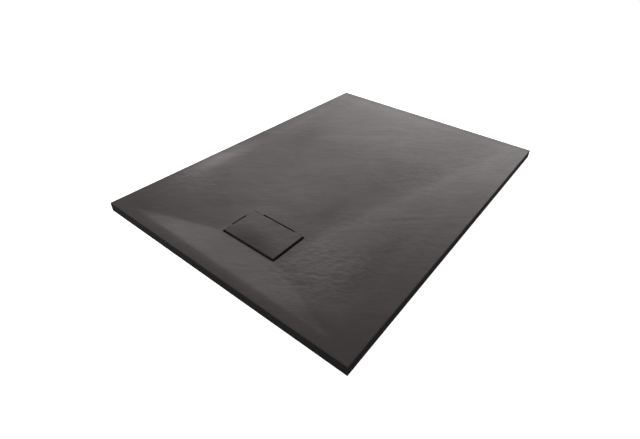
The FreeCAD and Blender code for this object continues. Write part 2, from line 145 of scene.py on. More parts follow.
slate = {
    "streakDegrees": 38,                 # the cleavage runs this far round from +X
    "swell": (0.22, 0.34, 0.20),         # height in mm, length and width in metres
    "flake": (0.060, 0.170, 0.048, 3.4), # height of one step in mm, length, width, steps from low to high
    "streak": (0.052, 0.085, 0.0115),    # height in mm, length, width
    "scale": (0.42, 0.021, 0.0115),      # the fish-scale ripples: height in mm, length, width
    "scaleDome": (0.5, 1.5),             # how high a scale's middle is, and how fast it falls off
    "scaleBend": 1.6,                    # how much more the ripples bend than the streaks
    "scaleFrom": 0.02,                   # ripples weaker than this are left out
    # where the ripples lie: x, y, reach along and across the streaks, strength
    "ripplePatches": [
        (0.230, -0.420, 0.105, 0.075, 1.25),
        (0.165, -0.350, 0.060, 0.050, 0.8),
        (0.235, -0.520, 0.060, 0.030, 0.65),
        (0.150, -0.200, 0.075, 0.040, 0.55),
        (0.060, -0.300, 0.060, 0.025, 0.50),
        (0.120, 0.070, 0.120, 0.036, 0.42),
        (0.200, 0.190, 0.060, 0.035, 0.60),
        (0.060, 0.230, 0.060, 0.035, 0.35),
        (-0.270, -0.530, 0.060, 0.030, 0.45),
        (-0.360, -0.370, 0.075, 0.060, 0.75),
        (0.330, -0.200, 0.090, 0.060, 0.40),
        (0.020, 0.400, 0.100, 0.050, 0.25),
    ],
    "rippleElsewhere": 0.30,
    "rippleDrift": 0.11,                 # metres over which the ripples elsewhere come and go
    "sway": (0.6, 0.11, 0.05),           # how far the flakes wander, and over what length and width
    "bend": (0.4, 0.045, 0.03),          # the same for the streaks, added to a share of the sway
    "bendFromSway": 0.8,
    "flakeLip": 0.3,                     # share of a flake's width that its step takes
    # where the cast face is closed and a little glossier, or dry where the strength is below zero, and paler
    # or darker in colour there as painted light and shade: x, y, reach in X and Y, strength
    "glossAndPaintedLightPatches": [
        (0.200, -0.330, 0.075, 0.130, 1.0),
        (0.215, -0.100, 0.050, 0.140, 0.9),
        (0.110, -0.060, 0.060, 0.070, 0.4),
        (-0.350, -0.375, 0.055, 0.075, 1.3),
        (-0.345, 0.300, 0.070, 0.120, 0.6),
        (-0.170, 0.280, 0.110, 0.150, 0.5),
        (0.240, 0.270, 0.090, 0.090, 0.5),
        (-0.440, 0.100, 0.030, 0.260, -0.9),
        (-0.430, -0.520, 0.050, 0.090, -0.9),
        (-0.210, -0.050, 0.080, 0.120, -0.4),
        (0.345, -0.400, 0.050, 0.140, -0.7),
        (0.430, -0.520, 0.060, 0.100, -2.0),
        (0.000, 0.590, 0.500, 0.020, -0.9),
        (-0.200, -0.550, 0.110, 0.050, 1.9),
        (0.030, -0.550, 0.120, 0.055, 0.8),
        (-0.365, -0.550, 0.050, 0.032, -2.6),
        (0.325, -0.550, 0.080, 0.028, -2.8),
        (0.000, -0.592, 0.450, 0.017, -3.2),
        (-0.412, -0.270, 0.036, 0.150, 3.6),
        (0.190, -0.400, 0.080, 0.060, 1.2),
        (0.150, -0.270, 0.028, 0.085, 0.9),
        (0.190, -0.110, 0.028, 0.100, 1.0),
        (0.240, 0.050, 0.030, 0.100, 1.0),
        (0.280, 0.200, 0.032, 0.100, 0.8),
        (0.125, 0.040, 0.045, 0.100, -0.6),
        (0.085, -0.190, 0.035, 0.100, -0.9),
        (0.325, -0.290, 0.038, 0.140, -1.7),
        (-0.300, 0.080, 0.050, 0.150, -0.6),
        (-0.210, -0.370, 0.060, 0.040, -0.8),
    ],
}
slateTurn = math.radians(slate["streakDegrees"])


def alongCleavage(x, y):
    # metres along and across the streaks
    along = x * math.cos(slateTurn) + y * math.sin(slateTurn)
    across = y * math.cos(slateTurn) - x * math.sin(slateTurn)
    return along, across


def rippleStrength(x, y):
    drift = slate["rippleDrift"]
    level = noise.noise(Vector((x / drift, y / drift, 5.3)))
    strength = slate["rippleElsewhere"] * smoothStep(-0.2, 0.5, level)
    for px, py, reachAlong, reachAcross, most in slate["ripplePatches"]:
        along, across = alongCleavage(x - px, y - py)
        far = (along / reachAlong) ** 2 + (across / reachAcross) ** 2
        if far < 4:
            strength = max(strength, most * (1 - smoothStep(0.15, 4, far)))
    return strength


def patchAt(x, y, px, py, reachX, reachY, strength):
    return strength * math.exp(-((x - px) / reachX) ** 2 - ((y - py) / reachY) ** 2)


# paler or darker colour from the patches, painted light and shade, with the gloss that goes with it
def slateGlossAndPaintedLight(x, y):
    return sum(patchAt(x, y, *patch) for patch in slate["glossAndPaintedLightPatches"])


def slateRelief(x, y, seed=0.0, ripple=None):
    # millimetres above the mean face: broad swells, flaked steps, fine streaks and fish-scale ripples
    # the number added to the seed gives each layer of noise a slice of its own
    along, across = alongCleavage(x, y)
    height, length, width = slate["swell"]
    relief = height * noise.fractal(Vector((along / length, across / width, seed + 3.7)), 1.0, 2.0, 2)
    height, length, width, steps = slate["flake"]
    reach, long, wide = slate["sway"]
    sway = reach * noise.noise(Vector((along / long, across / wide, seed + 9.1)))
    level = steps * noise.fractal(Vector((along / length + sway, across / width + sway, seed)), 1.0, 2.0, 2)
    step = math.floor(level)
    relief += height * (step + smoothStep(0.0, slate["flakeLip"], level - step))
    height, length, width = slate["streak"]
    reach, long, wide = slate["bend"]
    wander = reach * noise.noise(Vector((along / long, across / wide, seed + 2.9)))
    bend = slate["bendFromSway"] * sway + wander
    relief += height * noise.fractal(Vector((along / length, across / width + bend, seed + 7)), 0.8, 2.0, 2)
    strength = rippleStrength(x, y) if ripple is None else ripple
    if strength > slate["scaleFrom"]:
        height, length, width = slate["scale"]
        middle, fallOff = slate["scaleDome"]
        spot = Vector((along / length + bend, across / width + slate["scaleBend"] * bend, seed + 11))
        near = noise.voronoi(spot)[0][0]
        relief += strength * height * (middle - fallOff * near * near)
    return relief


# the cast slab

slab = {
    "pitch": 3.6 * mm,
    "arris": 2.0 * mm,
    "arrisDegrees": (20, 42, 65, 90),
    "sideRows": (0.66, 0.33, 0.0),  # heights of the rows down the side, as shares of the slab's
    "rimSide": 72 * mm,
    "rimNear": 31 * mm,
    "rimFar": 60 * mm,
    "rimBlend": 20 * mm,
    "nearBlend": 5 * mm,      # the near crease is crisper than the others
    "foldBlend": 0.9 * mm,
    "fall": 14 * mm,
    "levelWidth": 236 * mm,
    "levelToNear": 68 * mm,   # from the drain's middle to where the near fall ends
    "levelToFar": 80 * mm,
    "recessDepth": 5.5 * mm,
    "seatFit": 2.6 * mm,
    "slotGap": 6.5 * mm,
    "slotLong": 125 * mm,
    "slotShort": 54 * mm,
    "rebateDepth": 3.5 * mm,
    "rebateRadius": 57.5 * mm,
    "holeRadius": 45 * mm,
    "spotRadius": 65.5 * mm,
    "spotDepth": 1.0 * mm,
    "reliefTop": 0.3,         # mm; the relief's highest flakes touch the plain face of the CAD
    "slateFrom": 2 * mm,      # the slate face starts this far above the cover's seat
}
halfWidth = slabHigh.x
halfLength = slabHigh.y
topZ = slabHigh.z
levelZ = topZ - slab["fall"]
coverHalfX = (drainHigh.x - drainLow.x) / 2
coverHalfY = (drainHigh.y - drainLow.y) / 2


def fallAt(inward, run, depth, blend):
    # how far one fall has dropped, this far inside its crease at the rim, with the crease blended
    if inward <= -blend / 2:
        return 0.0
    slope = depth / run
    if inward < blend / 2:
        return slope * (inward + blend / 2) ** 2 / (2 * blend)
    return slope * inward


def basinZ(x, y):
    crease = (halfWidth - slab["rimSide"], -halfLength + slab["rimNear"], halfLength - slab["rimFar"])
    runs = (
        crease[0] - slab["levelWidth"] / 2,
        drainY - slab["levelToNear"] - crease[1],
        crease[2] - drainY - slab["levelToFar"],
    )
    side = fallAt(crease[0] - abs(x), runs[0], slab["fall"], slab["rimBlend"])
    near = fallAt(y - crease[1], runs[1], slab["fall"], slab["nearBlend"])
    far = fallAt(crease[2] - y, runs[2], slab["fall"], slab["rimBlend"])
    drop = softMin(softMin(side, far, slab["foldBlend"]), near, slab["foldBlend"])
    return topZ - max(0.0, softMin(drop, slab["fall"], slab["foldBlend"]))


def inRecess(x, y):
    # a wide gap along the cover's near and right sides, a narrow one with a slot along the others
    dx = x - drainX
    dy = y - drainY
    fit = slab["seatFit"]
    gap = slab["slotGap"]
    if dx > coverHalfX + gap or dy < -coverHalfY - gap:
        return False
    seat = dx > -coverHalfX - fit and dy < coverHalfY + fit
    across = abs(dx) < slab["slotLong"] / 2 and dy < coverHalfY + gap
    along = dx > -coverHalfX - gap and abs(dy) < slab["slotShort"] / 2
    return seat or across or along


def slabPlaces(middle, half, coverHalf, slotHalf):
    edge = half - slab["arris"]
    inner = [coverHalf + slab["slotGap"], coverHalf + slab["seatFit"], slotHalf]
    fixed = [-edge] + [middle - i for i in inner] + [middle + i for i in reversed(inner)] + [edge]
    return stops(fixed, slab["pitch"])


def buildSlab():
    bm = bmesh.new()
    xPlaces = slabPlaces(drainX, halfWidth, coverHalfX, slab["slotLong"] / 2)
    yPlaces = slabPlaces(drainY, halfLength, coverHalfY, slab["slotShort"] / 2)
    gridSheet(bm, xPlaces, yPlaces)
    recess = [f for f in bm.faces if inRecess(*f.calc_center_median().xy)]
    bmesh.ops.delete(bm, geom=recess, context="FACES")
    cleft, ripple, glossAndPaintedLight = stoneLayers(bm)
    for vert in bm.verts:
        relief = slateRelief(vert.co.x, vert.co.y)
        vert[cleft] = relief
        # painted light and shade, with gloss, from the patches
        vert[glossAndPaintedLight] = slateGlossAndPaintedLight(vert.co.x, vert.co.y)
        vert[ripple] = rippleStrength(vert.co.x, vert.co.y)
        lower = min(0.0, relief - slab["reliefTop"])
        vert.co.z = basinZ(vert.co.x, vert.co.y) + lower * mm
    borders = [e for e in bm.edges if e.is_boundary]
    edgeX = halfWidth - slab["arris"]
    edgeY = halfLength - slab["arris"]

    def onOutside(edge):
        a, b = (v.co for v in edge.verts)
        alongX = abs(a.x - b.x) < 1e-7 and abs(abs(a.x) - edgeX) < 1e-6
        alongY = abs(a.y - b.y) < 1e-7 and abs(abs(a.y) - edgeY) < 1e-6
        return alongX or alongY

    outside = [e for e in borders if onOutside(e)]
    lip = [e for e in borders if not onOutside(e)]

    # the arris and the vertical side
    radius = slab["arris"]
    before = 0
    for degrees in slab["arrisDegrees"]:
        turn = math.radians(degrees)
        out = radius * (math.sin(turn) - math.sin(before))
        down = radius * (math.cos(before) - math.cos(turn))
        outside = drawOut(bm, outside, lambda old: steppedOut(old, edgeX, edgeY, out, down))
        before = turn
    for share in slab["sideRows"]:
        height = slabLow.z + share * (slabHigh.z - slabLow.z)
        outside = drawOut(bm, outside, lambda old: Vector((old.x, old.y, height)))

    # the cover's seat, the flange's rebate, the waste hole and the spot face under it
    floorZ = levelZ - slab["recessDepth"]
    lip = drawOut(bm, lip, lambda old: Vector((old.x, old.y, floorZ)))
    ring = circleAt(bm, slab["rebateRadius"], floorZ)
    bmesh.ops.triangle_fill(bm, use_beauty=True, use_dissolve=False, edges=lip + ring)
    rebateZ = floorZ - slab["rebateDepth"]
    spotZ = slabLow.z + slab["spotDepth"]
    ring = drawOut(bm, ring, sizedTo(slab["rebateRadius"], rebateZ))
    ring = drawOut(bm, ring, sizedTo(slab["holeRadius"], rebateZ))
    ring = drawOut(bm, ring, sizedTo(slab["holeRadius"], spotZ))
    ring = drawOut(bm, ring, sizedTo(slab["spotRadius"], spotZ))
    ring = drawOut(bm, ring, sizedTo(slab["spotRadius"], slabLow.z))
    bmesh.ops.triangle_fill(bm, use_beauty=True, use_dissolve=False, edges=outside + ring)
    return finished("slateSlab", bm, "tray", "tray_slab", floorZ + slab["slateFrom"])


slateSlab = buildSlab()


# the drain cover

cover = {
    "pitch": 1.7 * mm,
    "edge": 1.4 * mm,
    "edgeSteps": ((0.25, 0.08), (0.85, 0.72), (1.0, 1.0)),  # out and down, as shares of the edge
    "corner": 2.0 * mm,
    "undercut": 2.2 * mm,
    "relief": 1.0,            # share of the slab's relief
    "reliefTop": 0.25,        # mm
    "ripple": 0.45,
    "dry": (-0.006, -0.042, 0.075, 0.036, -2.4),  # a drier patch whose darker colour is painted shade, given as the patches above are
    "seed": 21.0,
    "bow": 1.3,               # mm that its face drops towards the near side
    "bowFrom": -14 * mm,
    "bowReach": 70 * mm,
    "bowPower": 1.7,
    "lean": (0.12, -0.95, -3.0),  # how the bow's depth grows with x, y and x squared
    "contours": (0.085, 0.16),    # height of the curved ridges and the drop between two, in mm
    "contourSway": (1.4, 0.06, 0.03),
    "reliefZoom": 1.3,        # the plate's relief is this much finer than the slab's
    "slateFrom": 2 * mm,      # the slate face starts this far above the underside
}


def coverFace(x, y):
    # millimetres below the plate's top: a bowed face with curved ridges along its contours
    byX, byY, byXX = cover["lean"]
    lean = byX * x + byY * y + byXX * x * x - cover["bowFrom"]
    drop = cover["bow"] * max(0.0, lean / cover["bowReach"]) ** cover["bowPower"]
    height, spacing = cover["contours"]
    reach, long, wide = cover["contourSway"]
    sway = reach * noise.noise(Vector((x / long, y / wide, cover["seed"])))
    ridge = height * math.sin(math.tau * (drop / spacing + sway)) * smoothStep(0.0, 0.3, drop)
    zoom = cover["reliefZoom"]
    relief = slateRelief(x * zoom, y * zoom, cover["seed"], cover["ripple"]) * cover["relief"]
    return relief + ridge - drop


def buildCover():
    bm = bmesh.new()
    halfX = coverHalfX - cover["edge"]
    halfY = coverHalfY - cover["edge"]
    gridSheet(bm, stops([-halfX, halfX], cover["pitch"]), stops([-halfY, halfY], cover["pitch"]))
    cleft, ripple, glossAndPaintedLight = stoneLayers(bm)
    for vert in bm.verts:
        # the cover's patch: drier, and darker in colour as painted shade
        vert[glossAndPaintedLight] = patchAt(vert.co.x, vert.co.y, *cover["dry"])
        face = coverFace(vert.co.x, vert.co.y)
        vert[cleft] = face
        vert[ripple] = cover["ripple"]
        vert.co.z = drainHigh.z + min(0.0, face - cover["reliefTop"]) * mm
    rim = [e for e in bm.edges if e.is_boundary]
    before = (0.0, 0.0)
    for step in cover["edgeSteps"]:
        out, down = [cover["edge"] * (a - b) for a, b in zip(step, before)]
        rim = drawOut(bm, rim, lambda old: steppedOut(old, halfX, halfY, out, down))
        before = step
    # round the plan corners
    reach = cover["corner"]
    for vert in bm.verts:
        dx = abs(vert.co.x) - (coverHalfX - reach)
        dy = abs(vert.co.y) - (coverHalfY - reach)
        if dx > 0 and dy > 0:
            far = math.hypot(dx, dy)
            limit = max(dx, dy)
            vert.co.x -= math.copysign(dx * (1 - limit / far), vert.co.x)
            vert.co.y -= math.copysign(dy * (1 - limit / far), vert.co.y)
    # the sides lean in towards the underside
    shareX = 1 - cover["undercut"] / coverHalfX
    shareY = 1 - cover["undercut"] / coverHalfY
    rim = drawOut(bm, rim, lambda old: Vector((old.x * shareX, old.y * shareY, drainLow.z)))
    bmesh.ops.edgeloop_fill(bm, edges=rim)
    bmesh.ops.translate(bm, verts=bm.verts[:], vec=(drainX, drainY, 0))
    return finished("slateCover", bm, "cover", "drain_cover", drainLow.z + cover["slateFrom"])


slateCover = buildCover()


# node trees

def newMaterial(name, colour, roughness, allOver=None):
    # allOver holds the shader's other values, the same all over the surface
    material = bpy.data.materials.new(name)
    material.use_nodes = True
    shader = material.node_tree.nodes["Principled BSDF"]
    shader.inputs["Base Color"].default_value = (*colour, 1)
    shader.inputs["Roughness"].default_value = roughness
    for socket, value in (allOver or {}).items():
        shader.inputs[socket].default_value = value
    return material


def addNode(tree, kind, inputs=None, **settings):
    # inputs are numbers or other nodes' outputs, by the socket's name or number
    node = tree.nodes.new(kind)
    for setting, value in settings.items():
        setattr(node, setting, value)
    for socket, value in (inputs or {}).items():
        if isinstance(value, bpy.types.NodeSocket):
            tree.links.new(value, node.inputs[socket])
        else:
            node.inputs[socket].default_value = value
    return node


def maths(tree, operation, a, b=0.0, clamp=False):
    return addNode(tree, "ShaderNodeMath", {0: a, 1: b}, operation=operation, use_clamp=clamp).outputs[0]


def vectorMaths(tree, operation, a, b):
    return addNode(tree, "ShaderNodeVectorMath", {0: a, 1: b}, operation=operation).outputs[0]


def cellsAt(tree, inputs):
    return addNode(tree, "ShaderNodeTexVoronoi", inputs, feature="F1").outputs["Distance"]


def weighted(tree, *terms):
    # the sum of value x weight, taken round each value's own middle
    total = None
    for value, weight, middle in terms:
        level = maths(tree, "SUBTRACT", value, middle)
        level = maths(tree, "MULTIPLY", level, weight)
        total = level if total is None else maths(tree, "ADD", total, level)
    return total


def grainAt(tree, vector, scale, detail=2.0, roughness=0.5):
    inputs = {"Vector": vector, "Scale": scale, "Detail": detail, "Roughness": roughness}
    return addNode(tree, "ShaderNodeTexNoise", inputs).outputs[0]


def ramped(tree, value, low, high, start=0.0, end=1.0):
    inputs = {"Value": value, "From Min": low, "From Max": high, "To Min": start, "To Max": end}
    return addNode(tree, "ShaderNodeMapRange", inputs).outputs[0]


def mixed(tree, factor, a, b):
    node = addNode(tree, "ShaderNodeMix", data_type="RGBA")
    for socket, value in (("Factor", factor), ("A", a), ("B", b)):
        target = next(i for i in node.inputs if i.name == socket and i.enabled)
        if isinstance(value, bpy.types.NodeSocket):
            tree.links.new(value, target)
        else:
            target.default_value = value
    return next(o for o in node.outputs if o.enabled)


def newGroup(name, inputs, outputs):
    group = bpy.data.node_groups.new(name, "ShaderNodeTree")
    kinds = {"vector": "NodeSocketVector", "colour": "NodeSocketColor", "value": "NodeSocketFloat"}
    for label, kind, value in inputs:
        socket = group.interface.new_socket(label, in_out="INPUT", socket_type=kinds[kind])
        if value is not None:
            socket.default_value = value
    for label, kind in outputs:
        group.interface.new_socket(label, in_out="OUTPUT", socket_type=kinds[kind])
    given = addNode(group, "NodeGroupInput").outputs
    return group, given, addNode(group, "NodeGroupOutput").inputs


# sizes in the stone: patches per metre, or length and width along the cleavage in metres
stoneSizes = {
    "cloud": 6.5,
    "streak": (0.055, 0.007),
    "fibre": (0.016, 0.0034),
    "scale": (0.0145, 0.0078),
    "bend": (0.03, 0.02),
    "grain": 260,
    "fleck": 720,
    "pit": 95.0,
}


def makeStoneGrain():
    # cleft slate: streaks and flakes by colour, a dry stony roughness, and in the height, in mm,
    # ripples and fine grain
    group, given, out = newGroup(
        "stoneGrain",
        [("Vector", "vector", None), ("Cleft", "value", 0.0), ("Ripple", "value", 0.0),
         ("GlossAndPaintedLight", "value", 0.0), ("Deep", "colour", (0.02, 0.02, 0.02, 1)),
         ("Pale", "colour", (0.03, 0.03, 0.03, 1)), ("Roughness", "value", 0.55), ("Relief", "value", 1.0)],
        [("Color", "colour"), ("Roughness", "value"), ("Height", "value")],
    )
    place = given["Vector"]
    inputs = {"Vector": place, "Angle": -slateTurn}
    turned = addNode(group, "ShaderNodeVectorRotate", inputs, rotation_type="Z_AXIS").outputs[0]

    def drawnOut(name):
        length, width = stoneSizes[name]
        return vectorMaths(group, "MULTIPLY", turned, (1 / length, 1 / width, 1 / width))

    cloud = grainAt(group, place, stoneSizes["cloud"], 3.0)
    streak = grainAt(group, drawnOut("streak"), 1.0, 3.0, 0.6)
    fibre = grainAt(group, drawnOut("fibre"), 1.0, 3.0, 0.6)
    grain = grainAt(group, place, stoneSizes["grain"], 3.0, 0.6)
    fleck = ramped(group, grainAt(group, place, stoneSizes["fleck"], 2.0), 0.60, 0.74)
    bent = vectorMaths(group, "ADD", drawnOut("scale"), grainAt(group, drawnOut("bend"), 1.0, 1.0))
    scales = cellsAt(group, {"Vector": bent, "Scale": 1.0, "Randomness": 0.85})
    dome = maths(group, "MULTIPLY", maths(group, "MULTIPLY", scales, scales), given["Ripple"])
    pit = ramped(group, cellsAt(group, {"Vector": place, "Scale": stoneSizes["pit"]}), 0.16, 0.06)

    # the patch number also makes the tone paler or darker: painted light and shade
    tone = weighted(
        group, (given["Cleft"], 0.9, 0.0), (given["GlossAndPaintedLight"], 0.3, 0.0), (cloud, 0.7, 0.5), (streak, 1.2, 0.5),
        (fibre, 0.8, 0.5), (fleck, 0.8, 0.0), (pit, -0.5, 0.0),
    )
    tone = maths(group, "ADD", tone, 0.5, clamp=True)
    group.links.new(mixed(group, tone, given["Deep"], given["Pale"]), out["Color"])
    dry = weighted(
        group, (given["Cleft"], -0.10, 0.0), (given["GlossAndPaintedLight"], -0.05, 0.0), (cloud, 0.10, 0.5),
        (streak, -0.18, 0.5), (grain, 0.16, 0.5),
    )
    group.links.new(maths(group, "ADD", dry, given["Roughness"], clamp=True), out["Roughness"])
    height = weighted(
        group, (streak, 0.085, 0.5), (fibre, 0.075, 0.5), (grain, 0.028, 0.5), (dome, -0.30, 0.0),
        (pit, -0.03, 0.0),
    )
    group.links.new(maths(group, "MULTIPLY", height, given["Relief"]), out["Height"])
    return group


def makeMouldedGrain():
    # plastic or rubber out of a mould: cloudy colour, faint flow lines and the tool's fine eroded texture
    group, given, out = newGroup(
        "mouldedGrain",
        [("Vector", "vector", None),
         ("Colour", "colour", (0.5, 0.5, 0.5, 1)), ("Shade", "colour", (0.4, 0.4, 0.4, 1)),
         ("Roughness", "value", 0.4), ("Grain", "value", 900.0), ("Depth", "value", 0.01)],
        [("Color", "colour"), ("Roughness", "value"), ("Height", "value")],
    )
    cloud = grainAt(group, given["Vector"], 28.0, 3.0)
    flow = grainAt(group, vectorMaths(group, "MULTIPLY", given["Vector"], (60, 60, 420)), 1.0, 2.0)
    eroded = grainAt(group, given["Vector"], given["Grain"], 2.0, 0.6)
    tone = weighted(group, (cloud, 1.3, 0.42), (flow, 0.6, 0.5), (eroded, 0.5, 0.5))
    tone = maths(group, "ADD", tone, 0.3, clamp=True)
    group.links.new(mixed(group, tone, given["Colour"], given["Shade"]), out["Color"])
    level = weighted(group, (cloud, 0.16, 0.5), (flow, 0.10, 0.5), (eroded, 0.16, 0.5))
    group.links.new(maths(group, "ADD", level, given["Roughness"], clamp=True), out["Roughness"])
    height = maths(group, "MULTIPLY", weighted(group, (eroded, 1.0, 0.5), (flow, 0.6, 0.5)), given["Depth"])
    group.links.new(height, out["Height"])
    return group


def makeTurnedMetal():
    # rings left by the lathe or the spinning tool round a centre, smudges, dull water marks
    # and, outside a given radius, painted shade: a dark, rough ring
    group, given, out = newGroup(
        "turnedMetal",
        [("Vector", "vector", None), ("Centre", "vector", None), ("Colour", "colour", (0.6, 0.6, 0.6, 1)),
         ("Marked", "colour", (0.5, 0.5, 0.48, 1)), ("Roughness", "value", 0.28), ("Ring", "value", 0.0006),
         ("Painted Shade", "colour", (0.05, 0.05, 0.05, 1)), ("Painted Shade From", "value", 1.0), ("Painted Shade To", "value", 1.1)],
        [("Color", "colour"), ("Roughness", "value"), ("Height", "value")],
    )
    offset = vectorMaths(group, "SUBTRACT", given["Vector"], given["Centre"])
    parts = addNode(group, "ShaderNodeSeparateXYZ", {0: offset})
    flat = addNode(group, "ShaderNodeCombineXYZ", {0: parts.outputs[0], 1: parts.outputs[1]}).outputs[0]
    radius = addNode(group, "ShaderNodeVectorMath", {0: flat}, operation="LENGTH").outputs["Value"]
    ringed = addNode(group, "ShaderNodeCombineXYZ", {0: radius, 1: parts.outputs[2], 2: 0.0}).outputs[0]
    fine = maths(group, "DIVIDE", 1.0, given["Ring"])
    rings = grainAt(group, ringed, fine, 3.0, 0.6)
    smudge = grainAt(group, given["Vector"], 55.0, 4.0, 0.6)
    drops = cellsAt(group, {"Vector": given["Vector"], "Scale": 120.0})
    drops = maths(group, "MULTIPLY", ramped(group, drops, 0.34, 0.24), ramped(group, smudge, 0.5, 0.62))
    dull = weighted(group, (smudge, 1.0, 0.4), (drops, 0.5, 0.0), (rings, 0.5, 0.5))
    dull = maths(group, "ADD", dull, 0.1, clamp=True)
    paintedShade = ramped(group, radius, given["Painted Shade From"], given["Painted Shade To"])
    bare = mixed(group, dull, given["Colour"], given["Marked"])
    group.links.new(mixed(group, paintedShade, bare, given["Painted Shade"]), out["Color"])
    level = weighted(group, (smudge, 0.22, 0.45), (drops, 0.18, 0.0), (rings, 0.18, 0.5), (paintedShade, 0.4, 0.0))
    group.links.new(maths(group, "ADD", level, given["Roughness"], clamp=True), out["Roughness"])
    group.links.new(weighted(group, (rings, 0.007, 0.5), (drops, 0.004, 0.0)), out["Height"])
    return group


def makeEdgeWearAndHighlight():
    # 1 along convex edges, broken up by grain, where handling and cleaning polish a piece, and where an edge
    # catches the light as a painted highlight
    group, given, out = newGroup(
        "edgeWearAndHighlight",
        [("Vector", "vector", None), ("Pointiness", "value", 0.5),
         ("From", "value", 0.52), ("To", "value", 0.60)],
        [("Mask", "value")],
    )
    broken = ramped(group, grainAt(group, given["Vector"], 150.0, 4.0, 0.65), 0.38, 0.62)
    edge = ramped(group, given["Pointiness"], given["From"], given["To"])
    group.links.new(maths(group, "MULTIPLY", edge, broken), out["Mask"])
    return group


def makeDustFilm():
    # fine dust where a surface looks up, thinner where it is patchy
    group, given, out = newGroup(
        "dustFilm",
        [("Vector", "vector", None), ("Upward", "value", 0.0), ("Amount", "value", 0.2)],
        [("Mask", "value")],
    )
    patch = ramped(group, grainAt(group, given["Vector"], 70.0, 4.0, 0.6), 0.35, 0.7)
    lying = maths(group, "MULTIPLY", ramped(group, given["Upward"], 0.1, 0.9), patch)
    group.links.new(maths(group, "MULTIPLY", lying, given["Amount"]), out["Mask"])
    return group


stoneGrain = makeStoneGrain()
mouldedGrain = makeMouldedGrain()
turnedMetal = makeTurnedMetal()
edgeWearAndHighlight = makeEdgeWearAndHighlight()
dustFilm = makeDustFilm()
print("shared effects:", len(bpy.data.node_groups))


# finishes

def placeGroup(tree, group, inputs):
    return addNode(tree, "ShaderNodeGroup", inputs, node_tree=group)


def objectPlace(tree):
    return addNode(tree, "ShaderNodeTexCoord").outputs["Object"]


def dress(material, colour, roughness, height, heightUnit=mm):
    # links an effect's colour, roughness and height into the material's own shader
    tree = material.node_tree
    shader = tree.nodes["Principled BSDF"]
    tree.links.new(colour, shader.inputs["Base Color"])
    tree.links.new(roughness, shader.inputs["Roughness"])
    bump = addNode(tree, "ShaderNodeBump", {"Strength": 1.0, "Distance": heightUnit, "Height": height})
    tree.links.new(bump.outputs[0], shader.inputs["Normal"])


slateFinish = {
    "deep": (0.0218, 0.0203, 0.0194, 1),
    "pale": (0.0290, 0.0268, 0.0256, 1),
    # paler edge colour: a painted highlight where the edges catch the light, and wear
    "wornEdgeHighlight": (0.041, 0.0395, 0.038, 1),
    "glossTint": (1.0, 0.850, 0.822, 1),
    "roughness": 0.56,
    # darker side colours: painted shade; the rougher, less glossy finish is the sides' own
    "shadedSideDeep": (0.0130, 0.0127, 0.0122, 1),
    "shadedSidePale": (0.0190, 0.0186, 0.0178, 1),
    "sideRoughness": 0.74,
    "sideSpecular": 0.22,
}


def layerAt(tree, name):
    return addNode(tree, "ShaderNodeAttribute", attribute_name=name).outputs["Fac"]


def slateFaceMaterial():
    allOver = {"Specular Tint": slateFinish["glossTint"]}
    material = newMaterial("slateFace", slateFinish["deep"][:3], slateFinish["roughness"], allOver)
    tree = material.node_tree
    place = objectPlace(tree)
    stone = placeGroup(tree, stoneGrain, {
        "Vector": place, "Deep": slateFinish["deep"], "Pale": slateFinish["pale"],
        "Roughness": slateFinish["roughness"],
        "Cleft": layerAt(tree, "cleft"), "Ripple": layerAt(tree, "ripple"), "GlossAndPaintedLight": layerAt(tree, "glossAndPaintedLight"),
    })
    pointed = addNode(tree, "ShaderNodeNewGeometry").outputs["Pointiness"]
    edges = {"Vector": place, "Pointiness": pointed, "From": 0.53, "To": 0.62}
    wearAndHighlight = placeGroup(tree, edgeWearAndHighlight, edges).outputs[0]
    # the edges are paler: a painted highlight, and wear
    colour = mixed(tree, maths(tree, "MULTIPLY", wearAndHighlight, 0.6), stone.outputs["Color"], slateFinish["wornEdgeHighlight"])
    dress(material, colour, stone.outputs["Roughness"], stone.outputs["Height"])
    return material


# the cast sides, the seat's walls and the underside: a darker copy of the slate, its darker colour painted
# shade
def shadedCastSideMaterial():
    allOver = {"Specular IOR Level": slateFinish["sideSpecular"]}
    material = newMaterial("shadedCastSide", slateFinish["shadedSideDeep"][:3], slateFinish["sideRoughness"], allOver)
    tree = material.node_tree
    place = objectPlace(tree)
    stone = placeGroup(tree, stoneGrain, {
        "Vector": place, "Deep": slateFinish["shadedSideDeep"], "Pale": slateFinish["shadedSidePale"],
        "Roughness": slateFinish["sideRoughness"], "Relief": 0.8,
    })
    dress(material, stone.outputs["Color"], stone.outputs["Roughness"], stone.outputs["Height"])
    return material


finishNames = {
    "black_rubber": "blackRubber",
    "grey_plastic": "greyPlastic",
    "white_plastic": "whitePlastic",
    "steel": "brushedSteel",
    "brass": "turnedBrass",
}

# moulded pieces: colour, shade, roughness, grain per metre, grain depth in mm, dust, specular
mouldings = {
    "black_rubber": ((0.021, 0.021, 0.0215, 1), (0.034, 0.034, 0.035, 1), 0.62, 1400.0, 0.016, 0.30, 0.35),
    "grey_plastic": ((0.300, 0.310, 0.320, 1), (0.262, 0.271, 0.281, 1), 0.40, 1000.0, 0.010, 0.12, 0.5),
    "white_plastic": ((0.800, 0.800, 0.780, 1), (0.735, 0.738, 0.715, 1), 0.38, 900.0, 0.010, 0.16, 0.5),
}
dustColour = (0.36, 0.345, 0.32, 1)


